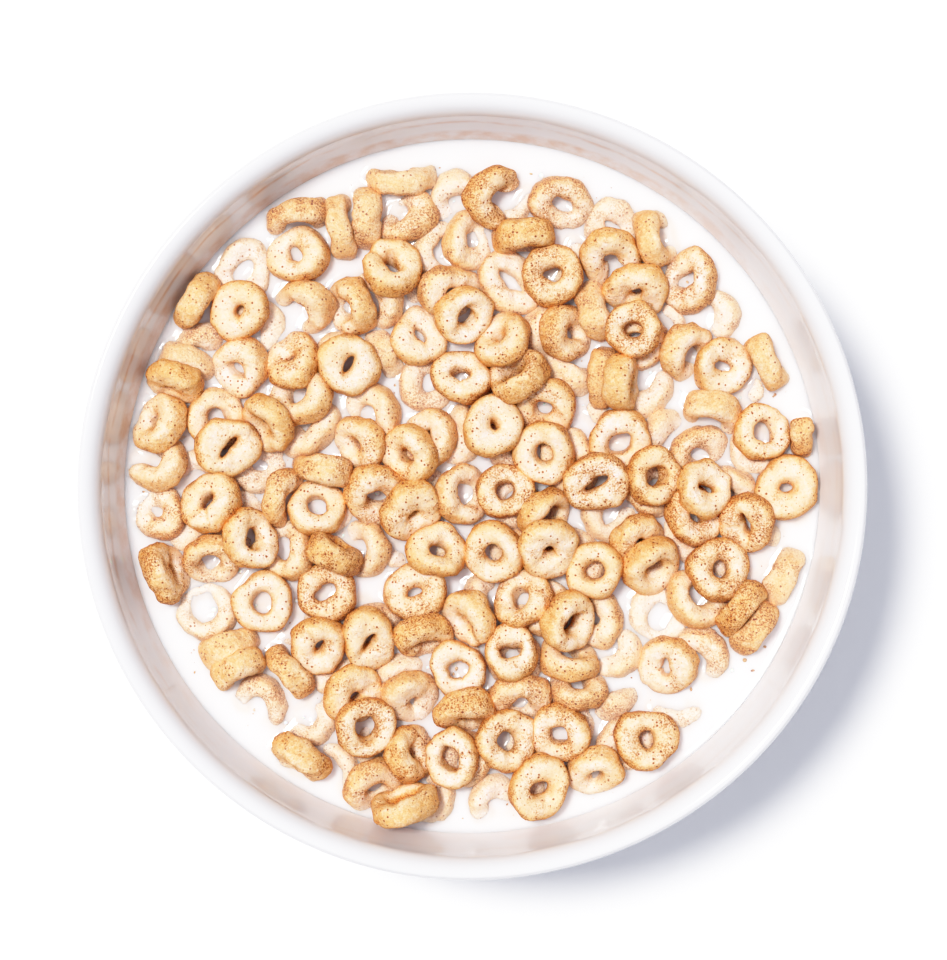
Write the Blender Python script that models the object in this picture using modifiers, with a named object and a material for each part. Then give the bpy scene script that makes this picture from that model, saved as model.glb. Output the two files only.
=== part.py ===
"""A bowl of ring cereal in milk.

A round white bowl on a foot ring holds milk up to a level well below its rim. A heap of small
cereal rings floats in the milk, half sunk, as one uneven raft that rises a little above it.
The origin is at the bottom centre, where the foot ring stands, with +Z up. Units are metres.
"""

import math

import bmesh
import bpy
import numpy as np

# Bowl
RIM_RADIUS = 0.0825  # outer edge of the rim
BOWL_HEIGHT = 0.062
WALL = 0.0044
FLAT_RADIUS = 0.030  # the bowl's flat bottom, where its curved side starts
SIDE_CENTRE_HEIGHT = 0.070  # the side is part of a quarter ellipse about this height
FOOT_HEIGHT = 0.005
FOOT_OUTER_RADIUS = 0.0395
FOOT_WIDTH = 0.0045
FOOT_ROUND = 0.0008
UNDERSIDE_HEIGHT = 0.0032  # the recess inside the foot ring

# Milk
MILK_LEVEL = 0.044
GAP = 0.0003  # between touching pieces

# Cereal heap
RING_SIZE = 0.013  # one cereal ring across
HEAP_RADIUS = 0.0690
HEAP_RADIUS_WOBBLE = 0.0017
HEAP_BOTTOM = 0.0335
HEAP_SHOULDER = 0.0455  # where the heap's edge turns into its top
HEAP_LOW = 0.0475  # tops of the lowest rings that show
HEAP_HIGH = 0.0535  # tops of the highest ones
LUMP_SPACING = 0.82 * RING_SIZE
LUMP_RADIUS = 0.62 * RING_SIZE
LUMP_DEPTH = 0.30 * RING_SIZE
EDGE_SLOPE = 0.004  # how far in from its edge the heap reaches its full height
UNDERSIDE_FLATNESS = 0.5
SEED = 11

# Fineness
TURN_STEPS = 60
SIDE_POINTS = 9
RIM_POINTS = 7
FOOT_POINTS = 3
HEAP_CELLS = 34  # grid cells across the heap's top
UNDERSIDE_ROWS = 4

COLLECTION_NAME = "bowl_of_cereal"


def clear_scene():
    for old in list(bpy.data.objects):
        bpy.data.objects.remove(old, do_unlink=True)


def make_collection(name):
    collection = bpy.data.collections.new(name)
    bpy.context.scene.collection.children.link(collection)
    return collection


def make_material(name, colour, roughness):
    material = bpy.data.materials.new(name)
    material.use_nodes = True
    shader = material.node_tree.nodes["Principled BSDF"]
    shader.inputs["Base Color"].default_value = (*colour, 1.0)
    shader.inputs["Roughness"].default_value = roughness
    shader.inputs["Metallic"].default_value = 0.0
    return material


def side_ellipse(inset):
    """Half width and depth of the side's ellipse, inset from the bowl's outer surface."""
    depth = SIDE_CENTRE_HEIGHT - FOOT_HEIGHT
    rim_rise = (SIDE_CENTRE_HEIGHT - (BOWL_HEIGHT - WALL / 2)) / depth
    width = (RIM_RADIUS - FLAT_RADIUS) / math.sqrt(1.0 - rim_rise * rim_rise)
    return width - inset, depth - inset


def side_points(inset, top, count):
    """The side from the flat bottom up to the height top, evenly by angle."""
    width, depth = side_ellipse(inset)
    top_angle = math.asin((SIDE_CENTRE_HEIGHT - top) / depth)
    angles = np.linspace(math.pi / 2, top_angle, count)
    return [
        (FLAT_RADIUS + width * math.cos(angle), SIDE_CENTRE_HEIGHT - depth * math.sin(angle))
        for angle in angles
    ]


def arc(centre, width, height, start, end, count):
    """Points on an elliptic arc in the profile's plane, degrees from +X towards +Z."""
    return [
        (
            centre[0] + width * math.cos(math.radians(angle)),
            centre[1] + height * math.sin(math.radians(angle)),
        )
        for angle in np.linspace(start, end, count)
    ]


def bowl_profile():
    """Half section: up the inside, over the rounded rim, down the outside to the foot."""
    rim_height = BOWL_HEIGHT - WALL / 2
    inside = side_points(WALL, rim_height, SIDE_POINTS)
    outside = side_points(0.0, rim_height, SIDE_POINTS)[::-1]
    rim_centre = ((inside[-1][0] + outside[0][0]) / 2, rim_height)
    rim_half = (outside[0][0] - inside[-1][0]) / 2
    rim = arc(rim_centre, rim_half, WALL / 2, 180, 0, RIM_POINTS)

    foot_inner = FOOT_OUTER_RADIUS - FOOT_WIDTH
    outer_round = (FOOT_OUTER_RADIUS - FOOT_ROUND, FOOT_ROUND)
    inner_round = (foot_inner + FOOT_ROUND, FOOT_ROUND)
    outside = [point for point in outside if point[0] > FOOT_OUTER_RADIUS + FOOT_ROUND]
    foot = [(FOOT_OUTER_RADIUS, FOOT_HEIGHT)]
    foot += arc(outer_round, FOOT_ROUND, FOOT_ROUND, 0, -90, FOOT_POINTS)
    foot += arc(inner_round, FOOT_ROUND, FOOT_ROUND, -90, -180, FOOT_POINTS)
    foot += [(foot_inner, UNDERSIDE_HEIGHT)]

    floor_height = FOOT_HEIGHT + WALL
    floor = [(0.0, floor_height), (FLAT_RADIUS / 2, floor_height)]
    underside = [(foot_inner / 2, UNDERSIDE_HEIGHT), (0.0, UNDERSIDE_HEIGHT)]
    return floor + inside + rim[1:-1] + outside + foot + underside


def milk_profile():
    """Half section of the milk: its flat level, then down the wall and in along the floor."""
    wall = side_points(WALL + GAP, MILK_LEVEL, SIDE_POINTS)[::-1]
    level_radius = wall[0][0]
    floor_height = wall[-1][1]
    level = [(0.0, MILK_LEVEL), (level_radius / 2, MILK_LEVEL)]
    return level + wall + [(FLAT_RADIUS / 2, floor_height), (0.0, floor_height)]


def turn_profile(name, profile, material, collection):
    """A half section at +X, turned about Z with a Screw modifier."""
    mesh = bpy.data.meshes.new(name)
    edges = [(i, i + 1) for i in range(len(profile) - 1)]
    mesh.from_pydata([(x, 0.0, z) for x, z in profile], edges, [])
    mesh.materials.append(material)
    piece = bpy.data.objects.new(name, mesh)
    collection.objects.link(piece)
    screw = piece.modifiers.new("turn", "SCREW")
    screw.axis = "Z"
    screw.angle = math.tau
    screw.steps = TURN_STEPS
    screw.render_steps = TURN_STEPS
    screw.use_merge_vertices = True
    screw.merge_threshold = 0.00001
    screw.use_smooth_shade = True
    return piece


def lump_places():
    """Centres and tops of the rings that show, on a jittered spiral over the heap."""
    random = np.random.default_rng(SEED)
    reach = HEAP_RADIUS - RING_SIZE / 2
    count = int(math.pi * (reach / LUMP_SPACING) ** 2)
    index = np.arange(count)
    radius = reach * np.sqrt((index + 0.5) / count)
    angle = index * math.pi * (3.0 - math.sqrt(5.0))
    jitter_x, jitter_y = random.uniform(-0.25, 0.25, (2, count)) * LUMP_SPACING
    top = random.uniform(HEAP_LOW, HEAP_HIGH, count)
    return radius * np.cos(angle) + jitter_x, radius * np.sin(angle) + jitter_y, top


def outline_radius(angle):
    """The heap's uneven edge, as a few waves round it."""
    waves = (
        0.50 * np.sin(3 * angle + 0.6)
        + 0.30 * np.sin(7 * angle + 2.1)
        + 0.35 * np.sin(13 * angle + 4.0)
        + 0.20 * np.sin(19 * angle + 1.3)
    )
    return HEAP_RADIUS + HEAP_RADIUS_WOBBLE * waves


def lumpy_height(x, y):
    """Height of the heap's upper side: the highest of the rounded lumps over each point."""
    lump_x, lump_y, top = lump_places()
    away = np.hypot(x[:, None] - lump_x, y[:, None] - lump_y) / LUMP_RADIUS
    dome = np.sqrt(np.clip(1.0 - away * away, 0.0, 1.0))
    height = top - LUMP_DEPTH * (1.0 - dome)
    return np.where(dome > 0.0, height, HEAP_SHOULDER).max(axis=1)


def disc_from_square(x, y):
    """Even mapping of the square from -1 to 1 onto the unit disc, as radius and angle."""
    radius = np.maximum(np.abs(x), np.abs(y))
    safe = np.maximum(radius, 1e-9)
    wide = np.abs(x) >= np.abs(y)
    quarter_turn = np.where(wide, y * np.sign(x), -x * np.sign(y)) / safe * math.pi / 4
    side_start = np.where(x >= 0, 0.0, math.pi)
    end_start = np.where(y >= 0, math.pi / 2, -math.pi / 2)
    return radius, np.where(wide, side_start, end_start) + quarter_turn


def lay_heap_top(mesh, grow):
    """Move a square grid's points to the heap's lumpy upper side."""
    points = np.empty(len(mesh.vertices) * 3)
    mesh.vertices.foreach_get("co", points)
    grid_x, grid_y, _ = points.reshape(-1, 3).T
    share, angle = disc_from_square(grid_x, grid_y)
    edge = outline_radius(angle) + grow
    x = edge * share * np.cos(angle)
    y = edge * share * np.sin(angle)
    slope = np.clip(edge * (1.0 - share) / EDGE_SLOPE, 0.0, 1.0)
    height = HEAP_SHOULDER + (lumpy_height(x, y) + grow - HEAP_SHOULDER) * slope
    mesh.vertices.foreach_set("co", np.column_stack((x, y, height)).ravel())
    mesh.update()


def close_heap_underside(heap, grow):
    """Carry the outline down and in, row by row, to one point at the bottom."""
    depth = HEAP_SHOULDER - HEAP_BOTTOM + grow
    loop = [edge for edge in heap.edges if edge.is_boundary]
    width = 1.0
    for row in range(1, UNDERSIDE_ROWS + 1):
        turn = math.pi / 2 * row / (UNDERSIDE_ROWS + 1)
        next_width = math.cos(turn) ** UNDERSIDE_FLATNESS
        made = bmesh.ops.extrude_edge_only(heap, edges=loop)["geom"]
        loop = [item for item in made if isinstance(item, bmesh.types.BMEdge)]
        for vertex in (item for item in made if isinstance(item, bmesh.types.BMVert)):
            vertex.co.x *= next_width / width
            vertex.co.y *= next_width / width
            vertex.co.z = HEAP_SHOULDER - depth * math.sin(turn) ** UNDERSIDE_FLATNESS
        width = next_width
    made = bmesh.ops.extrude_edge_only(heap, edges=loop)["geom"]
    last = [item for item in made if isinstance(item, bmesh.types.BMVert)]
    bmesh.ops.pointmerge(heap, verts=last, merge_co=(0.0, 0.0, HEAP_BOTTOM - grow))
    bmesh.ops.recalc_face_normals(heap, faces=heap.faces)


def make_heap(name, grow, material, collection):
    """The raft of rings as one closed solid, grown by grow on every side."""
    mesh = bpy.data.meshes.new(name)
    heap = bmesh.new()
    bmesh.ops.create_grid(heap, x_segments=HEAP_CELLS, y_segments=HEAP_CELLS, size=1.0)
    heap.to_mesh(mesh)
    lay_heap_top(mesh, grow)
    heap.clear()
    heap.from_mesh(mesh)
    close_heap_underside(heap, grow)
    heap.to_mesh(mesh)
    heap.free()
    mesh.materials.append(material)
    mesh.shade_smooth()
    piece = bpy.data.objects.new(name, mesh)
    collection.objects.link(piece)
    return piece


def make_milk(material, collection, cutters):
    """The milk up to its level, with a pocket round the sunk part of the heap."""
    milk = turn_profile("milk", milk_profile(), material, collection)
    pocket = make_heap("milk_pocket", GAP, material, cutters)
    pocket.hide_render = True
    pocket.display_type = "WIRE"
    cut = milk.modifiers.new("pocket", "BOOLEAN")
    cut.operation = "DIFFERENCE"
    cut.solver = "EXACT"
    cut.object = pocket


def main():
    clear_scene()
    parts = make_collection(COLLECTION_NAME)
    cutters = make_collection("cutters")
    glaze = make_material("white_glaze", (0.86, 0.86, 0.86), 0.12)
    milk_white = make_material("milk_white", (0.95, 0.92, 0.90), 0.15)
    toasted = make_material("toasted_cereal", (0.78, 0.50, 0.24), 0.75)
    turn_profile("bowl", bowl_profile(), glaze, parts)
    make_milk(milk_white, parts, cutters)
    make_heap("cereal", 0.0, toasted, parts)


main()
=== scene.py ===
# Bowl of ring cereal in milk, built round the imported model. Lengths are metres, heights are above the table.
import math

import bpy
import numpy as np
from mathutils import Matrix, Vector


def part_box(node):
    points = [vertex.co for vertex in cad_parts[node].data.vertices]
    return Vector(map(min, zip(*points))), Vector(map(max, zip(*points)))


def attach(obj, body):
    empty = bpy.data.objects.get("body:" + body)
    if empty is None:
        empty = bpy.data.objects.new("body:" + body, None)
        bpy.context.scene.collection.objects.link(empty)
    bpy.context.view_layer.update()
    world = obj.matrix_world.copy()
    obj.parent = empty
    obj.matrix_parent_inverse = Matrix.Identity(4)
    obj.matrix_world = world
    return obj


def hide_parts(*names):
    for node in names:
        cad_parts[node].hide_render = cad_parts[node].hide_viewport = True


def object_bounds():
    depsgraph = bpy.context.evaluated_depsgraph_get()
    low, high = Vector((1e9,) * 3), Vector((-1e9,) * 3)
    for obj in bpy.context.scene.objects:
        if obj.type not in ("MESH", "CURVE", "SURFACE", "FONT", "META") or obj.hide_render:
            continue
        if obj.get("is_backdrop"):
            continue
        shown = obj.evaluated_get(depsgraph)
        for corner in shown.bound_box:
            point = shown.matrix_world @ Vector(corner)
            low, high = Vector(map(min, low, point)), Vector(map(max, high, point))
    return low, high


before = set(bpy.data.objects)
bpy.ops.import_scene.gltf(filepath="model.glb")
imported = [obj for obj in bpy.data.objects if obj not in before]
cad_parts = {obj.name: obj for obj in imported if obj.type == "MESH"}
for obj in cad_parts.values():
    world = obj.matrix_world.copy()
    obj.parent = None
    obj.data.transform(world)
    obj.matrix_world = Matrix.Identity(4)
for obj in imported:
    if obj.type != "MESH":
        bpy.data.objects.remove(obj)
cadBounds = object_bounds()

bowlLow, bowlHigh = (np.array(corner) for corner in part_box("bowl"))
_, milkHigh = (np.array(corner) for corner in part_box("milk"))
rimRadius = (bowlHigh[0] - bowlLow[0]) / 2
rimHeight = bowlHigh[2]
milkLevel = milkHigh[2]
milkRadius = milkHigh[0]
turn = 2 * math.pi
print("frame read: rim", rimRadius, "milk level", milkLevel)


# shared helpers

def addObject(name, points, faces, smooth=True):
    mesh = bpy.data.meshes.new(name)
    mesh.from_pydata(points.reshape(-1, 3), [], faces)
    mesh.polygons.foreach_set("use_smooth", [smooth] * len(mesh.polygons))
    mesh.update()
    piece = bpy.data.objects.new(name, mesh)
    bpy.context.scene.collection.objects.link(piece)
    return piece


# faces of a grid of rows x columns, wrapped round in its columns and, if asked, in its rows
def gridFaces(rows, columns, wrapRows=False):
    row = np.arange(rows if wrapRows else rows - 1)[:, None]
    column = np.arange(columns)[None, :]
    nextRow = (row + 1) % rows
    nextColumn = (column + 1) % columns
    corners = (
        row * columns + column,
        nextRow * columns + column,
        nextRow * columns + nextColumn,
        row * columns + nextColumn,
    )
    return np.stack(np.broadcast_arrays(*corners), axis=-1).reshape(-1, 4)


# a closed fan from one pole point to a ring of points
def fanFaces(pole, first, columns, flip=False):
    column = np.arange(columns)
    ends = (first + column, first + (column + 1) % columns)
    a, b = ends if flip else ends[::-1]
    return np.column_stack((np.full(columns, pole), a, b))


# the faces of one copy for all copies, each with as many points as the stride
def repeatFaces(one, copies, stride):
    return [[corner + copy * stride for corner in face] for copy in range(copies) for face in one]


def setAttribute(piece, name, values):
    attribute = piece.data.attributes.new(name, "FLOAT", "POINT")
    attribute.data.foreach_set("value", np.ascontiguousarray(values, dtype=np.float32).ravel())


cellMargin = 0.04


# a texture map of even cells, one for each copy of a grid: rows run along a cell and columns across it.
# Face corners come as gridFaces makes them, and a copy's closing fans share the ends of its cell
def layCells(piece, copies, rows, columns, wrapRows=False, fans=0):
    row = np.arange(rows if wrapRows else rows - 1)[:, None, None]
    column = np.arange(columns)[None, :, None]
    span = rows if wrapRows else rows - 1
    along = np.broadcast_to((row + np.array([0, 1, 1, 0])) / span, (row.shape[0], columns, 4))
    over = np.broadcast_to((column + np.array([0, 0, 1, 1])) / columns, along.shape)
    inset = cellMargin
    one = inset + (1 - 2 * inset) * np.stack((along, over), axis=-1).reshape(-1, 2)
    edge = np.arange(columns)[:, None]
    for fan in range(fans):
        rim = inset if fan == 0 else 1 - inset
        tip = 0.3 * inset if fan == 0 else 1 - 0.3 * inset
        corners = np.broadcast_to(np.array([[tip, rim, rim]]), (columns, 3))
        sides = inset + (1 - 2 * inset) * (edge + np.array([[0.5, 0.0, 1.0]])) / columns
        one = np.concatenate((one, np.stack((corners, sides), axis=-1).reshape(-1, 2)))
    wide = max(1, math.ceil(math.sqrt(copies / 2)))
    high = math.ceil(copies / wide)
    copy = np.arange(copies)
    start = np.stack((copy % wide, copy // wide), axis=-1)[:, None, :]
    places = (start + one[None, :, :]) / np.array([wide, high])
    layer = piece.data.uv_layers.new(name="OFBake")
    layer.uv.foreach_set("vector", places.astype(np.float32).ravel())


def nodeMaker(material):
    material.use_nodes = True
    tree = material.node_tree

    def make(kind, settings=None, **inputs):
        node = tree.nodes.new(kind)
        for key, value in (settings or {}).items():
            setattr(node, key, value)
        for key, value in inputs.items():
            socket = node.inputs[int(key[2:]) if key.startswith("in") else key.replace("_", " ")]
            if isinstance(value, bpy.types.NodeSocket):
                tree.links.new(value, socket)
            else:
                socket.default_value = value
        return node

    return make, tree.nodes["Principled BSDF"], tree.links


# cereal rings: sizes in metres, one entry for each kind

ringKinds = {
    "ringsRound": {"count": 46, "hole": 0.00185, "stretch": 1.08, "oval": 0.030, "crease": 0.00},
    "ringsWide": {"count": 28, "hole": 0.00240, "stretch": 1.12, "oval": 0.035, "crease": 0.05},
    "ringsSlit": {"count": 37, "hole": 0.00145, "stretch": 1.65, "oval": 0.055, "crease": 0.05},
    "ringsTight": {"count": 31, "hole": 0.00110, "stretch": 1.30, "oval": 0.040, "crease": 0.08},
    "ringsCreased": {"count": 28, "hole": 0.00165, "stretch": 1.25, "oval": 0.060, "crease": 0.24},
    "ringsOval": {"count": 27, "hole": 0.00160, "stretch": 1.35, "oval": 0.100, "crease": 0.10},
    "ringsBroken": {"count": 11, "hole": 0.00200, "stretch": 1.10, "oval": 0.050, "crease": 0.05},
}
ringArc = {"ringsBroken": 0.65}  # share of the full round, 1 where nothing is said
ringShape = {
    "size": 0.01315,  # across, on average
    "sizeSpread": 0.0006,
    "thickness": 0.0057,
    "thicknessSpread": 0.0004,
    "around": 40,
    "across": 20,
    "dent": 0.000085,
    "dentWaves": 9,
    "warp": 0.0005,
    "squareness": 0.80,  # 1 for a round tube, less for flat sides
    "holeDepth": 0.30,  # most of the ring's size that its hole may take from each side
    "holeLeast": 0.00035,
    "dentLengths": (0.0024, 0.0070),
    "seed": 7,
}


# random numbers that every ring keeps for its whole making, in arrays of rings x 1 x 1
def drawRings():
    random = np.random.default_rng(ringShape["seed"])
    kindNames = list(ringKinds)
    kind = np.repeat(np.arange(len(kindNames)), [ringKinds[k]["count"] for k in kindNames])
    count = len(kind)

    def fromKind(key):
        return np.array([ringKinds[kindNames[k]][key] for k in kind])[:, None, None]

    def spread(low, high):
        return random.uniform(low, high, (count, 1, 1))

    def around(key):
        return ringShape[key] + ringShape[key + "Spread"] * random.normal(0, 1, (count, 1, 1)).clip(-2, 2)

    rings = {"kind": kind, "kindNames": kindNames, "count": count}
    rings["size"] = around("size")
    rings["thickness"] = around("thickness")
    rings["hole"] = fromKind("hole") * spread(0.78, 1.22)
    rings["stretch"] = 1 + (fromKind("stretch") - 1) * spread(0.4, 1.6)
    rings["slitTurn"] = spread(0, turn)
    rings["oval"] = fromKind("oval") * spread(0.3, 1.6)
    rings["ovalTurn"] = spread(0, turn)
    rings["egg"] = spread(0.0, 0.045)
    rings["eggTurn"] = spread(0, turn)
    rings["knob"] = spread(0.002, 0.014)
    rings["knobTurn"] = spread(0, turn)
    rings["fat"] = spread(0.02, 0.13)
    rings["fatTurn"] = spread(0, turn)
    rings["crease"] = fromKind("crease") * spread(0.4, 1.5)
    rings["creaseAt"] = spread(0, turn)
    rings["creaseWidth"] = spread(0.10, 0.28)
    rings["warp"] = ringShape["warp"] * random.normal(0, 1, (count, 1, 1))
    rings["warpTurn"] = spread(0, turn)
    waves = ringShape["dentWaves"]
    direction = random.normal(0, 1, (count, waves, 3))
    direction /= np.linalg.norm(direction, axis=-1, keepdims=True)
    rings["dentWave"] = direction * turn / random.uniform(*ringShape["dentLengths"], (count, waves, 1))
    rings["dentPhase"] = random.uniform(0, turn, (count, waves))
    arc = np.array([ringArc.get(kindNames[k], 1.0) for k in kind])[:, None, None]
    rings["arc"] = np.where(arc < 1, arc * spread(0.75, 1.25), 1.0)
    rings["dust"] = random.beta(1.0, 1.6, count)
    rings["toast"] = random.beta(2.0, 2.4, count)
    return rings


# a ring is a tube between an outer and an inner outline, both of them waves round a circle:
# u runs round the ring and v round the tube, and low waves in space dent its skin
def ringSurface(rings, pick, u, v):
    get = {key: value[pick] for key, value in rings.items() if isinstance(value, np.ndarray)}
    u = get["arc"] * (u - math.pi) + math.pi
    outer = get["size"] / 2 * (
        1
        + get["oval"] * np.cos(2 * u + get["ovalTurn"])
        + get["egg"] * np.cos(3 * u + get["eggTurn"])
        + get["knob"] * np.cos(5 * u + get["knobTurn"])
    )
    along = np.cos(u - get["slitTurn"]) / get["stretch"]
    cross = np.sin(u - get["slitTurn"]) * get["stretch"]
    inner = get["hole"] / np.hypot(along, cross)
    inner = np.minimum(inner, outer - ringShape["holeDepth"] * get["size"])
    inner = np.maximum(inner, ringShape["holeLeast"])
    away = np.angle(np.exp(1j * (u - get["creaseAt"])))
    pinch = 1 - get["crease"] * np.exp(-((away / get["creaseWidth"]) ** 2))
    fat = 1 + get["fat"] * np.cos(u + get["fatTurn"]) + 0.5 * get["fat"] * np.cos(2 * u - get["fatTurn"])
    middle = (outer + inner) / 2
    half = (outer - inner) / 2 * pinch
    high = get["thickness"] / 2 * fat * pinch
    across, upright = np.cos(v), np.sin(v)
    square = ringShape["squareness"]
    radius = middle + half * np.sign(across) * np.abs(across) ** square
    x = radius * np.cos(u)
    y = radius * np.sin(u)
    z = high * np.sign(upright) * np.abs(upright) ** square
    z = z + get["warp"] * np.cos(2 * u + get["warpTurn"]) * (radius / get["size"] * 2) ** 2
    points = np.stack(np.broadcast_arrays(x, y, z), axis=-1)
    normal = np.stack(np.broadcast_arrays(np.cos(u) * np.cos(v), np.sin(u) * np.cos(v), np.sin(v)), axis=-1)
    phase = np.einsum("nuvc,nwc->nuvw", points, get["dentWave"]) + get["dentPhase"][:, None, None, :]
    dent = ringShape["dent"] * np.sin(phase).sum(axis=-1)
    return points + normal * dent[..., None]


rings = drawRings()
print("rings drawn:", rings["count"])


# settling the rings into a raft, at 100 times their size so that Bullet stays steady

settle = {
    "scale": 100.0,
    "frames": 120,
    "stepsPerFrame": 7,
    "pull": 30.0,
    "drag": 0.60,
    "turnDrag": 0.60,
    "friction": 0.15,
    "spacing": 0.0150,
    "layerGap": 0.0160,
    "tiltSpread": math.radians(45),
    "bedDepth": 0.0050,  # how far under the milk's level the lowest rings float
    "bedSwell": 0.0009,  # broad rises, where the rings pile up higher
    "bedBump": 0.0014,
    "bedBumpLength": 0.021,
    "wallSlope": 0.22,
    "startEdge": 0.0066,
    "startHeight": 0.010,
    "startShake": 0.12,
    "wallGap": 0.0006,
    "hullPoints": (14, 6),  # round a ring and round its tube
    "hull": (0.97, 0.97, 0.82),  # soft rings press a little into each other, mostly where they lie flat
    "seed": 21,
}


# depth of the bed that the lowest rings rest on: broad swells and shorter waves
def bedHeight(x, y):
    random = np.random.default_rng(settle["seed"] + 1)
    bed = -settle["bedDepth"]
    for heading, length in ((0.6, 0.085), (2.3, 0.064), (4.1, 0.052)):
        along = x * math.cos(heading) + y * math.sin(heading)
        bed = bed + settle["bedSwell"] * 0.6 * np.sin(along * turn / length + 2.1 * heading)
    for _ in range(7):
        heading, phase = random.uniform(0, turn, 2)
        length = settle["bedBumpLength"] * random.uniform(0.7, 1.5)
        along = x * np.cos(heading) + y * np.sin(heading)
        bed = bed + settle["bedBump"] * 0.55 * np.sin(along * turn / length + phase)
    return bed


# how far the raft keeps from the wall: stretches of open milk, as (heading, width, gap)
openMilk = ((85, 26, 0.0052), (36, 15, 0.0040), (-36, 17, 0.0046), (212, 20, 0.0046), (292, 14, 0.0022))


def raftRadius(angle, height):
    gap = settle["wallGap"]
    for heading, width, size in openMilk:
        away = np.degrees(np.angle(np.exp(1j * (angle - math.radians(heading)))))
        gap = gap + size * np.exp(-((away / width) ** 2))
    return milkRadius - gap + settle["wallSlope"] * np.maximum(height, 0)


# turns about the vertical, then leans about level axes, as quaternions in rows
def quaternionRows(tiltAxis, tilt, spin):
    half = tilt / 2
    x, y = (tiltAxis * np.sin(half)[:, None]).T
    lean = np.column_stack((np.cos(half), x, y, 0 * half))
    about = np.column_stack((np.cos(spin / 2), 0 * spin, 0 * spin, np.sin(spin / 2)))
    w1, x1, y1, z1 = lean.T
    w2, x2, y2, z2 = about.T
    return np.column_stack((
        w1 * w2 - x1 * x2 - y1 * y2 - z1 * z2,
        w1 * x2 + x1 * w2 + y1 * z2 - z1 * y2,
        w1 * y2 - x1 * z2 + y1 * w2 + z1 * x2,
        w1 * z2 + x1 * y2 - y1 * x2 + z1 * w2,
    ))


# loose layers over the milk, in a honeycomb with some shake; the last layer is filled in hills
def startPlaces(count):
    random = np.random.default_rng(settle["seed"])
    gap, shake = settle["spacing"], settle["startShake"]
    reach = int(milkRadius / gap) + 2
    column, row = np.meshgrid(np.arange(-reach, reach + 1), np.arange(-reach, reach + 1))
    x = (column + 0.5 * (row % 2)).ravel() * gap
    y = row.ravel() * gap * math.sqrt(0.75)
    places = []
    layer = 0
    while sum(len(p) for p in places) < count:
        shift = random.uniform(-0.5, 0.5, 2) * gap
        shaken = random.uniform(-shake, shake, (len(x), 2)) * gap
        spot = np.column_stack((x + shift[0], y + shift[1])) + shaken
        angle = np.arctan2(spot[:, 1], spot[:, 0])
        spot = spot[np.hypot(spot[:, 0], spot[:, 1]) < raftRadius(angle, 0) - settle["startEdge"]]
        height = settle["startHeight"] + layer * settle["layerGap"] + random.uniform(-0.001, 0.001, len(spot))
        places.append(np.column_stack((spot, height)))
        layer += 1
    spare = sum(len(p) for p in places) - count
    last = places[-1]
    hill = np.sin(last[:, 0] * 75 + 2.0) + np.sin(last[:, 1] * 62 - last[:, 0] * 30)
    hill = hill + random.uniform(-1.0, 1.0, len(last))
    places[-1] = last[np.argsort(hill)[spare:]]
    places = np.concatenate(places)
    heading = random.uniform(0, turn, count)
    tilt = np.abs(random.normal(0, settle["tiltSpread"], count))
    axis = np.column_stack((np.cos(heading), np.sin(heading)))
    return places, quaternionRows(axis, tilt, random.uniform(0, turn, count))


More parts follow.
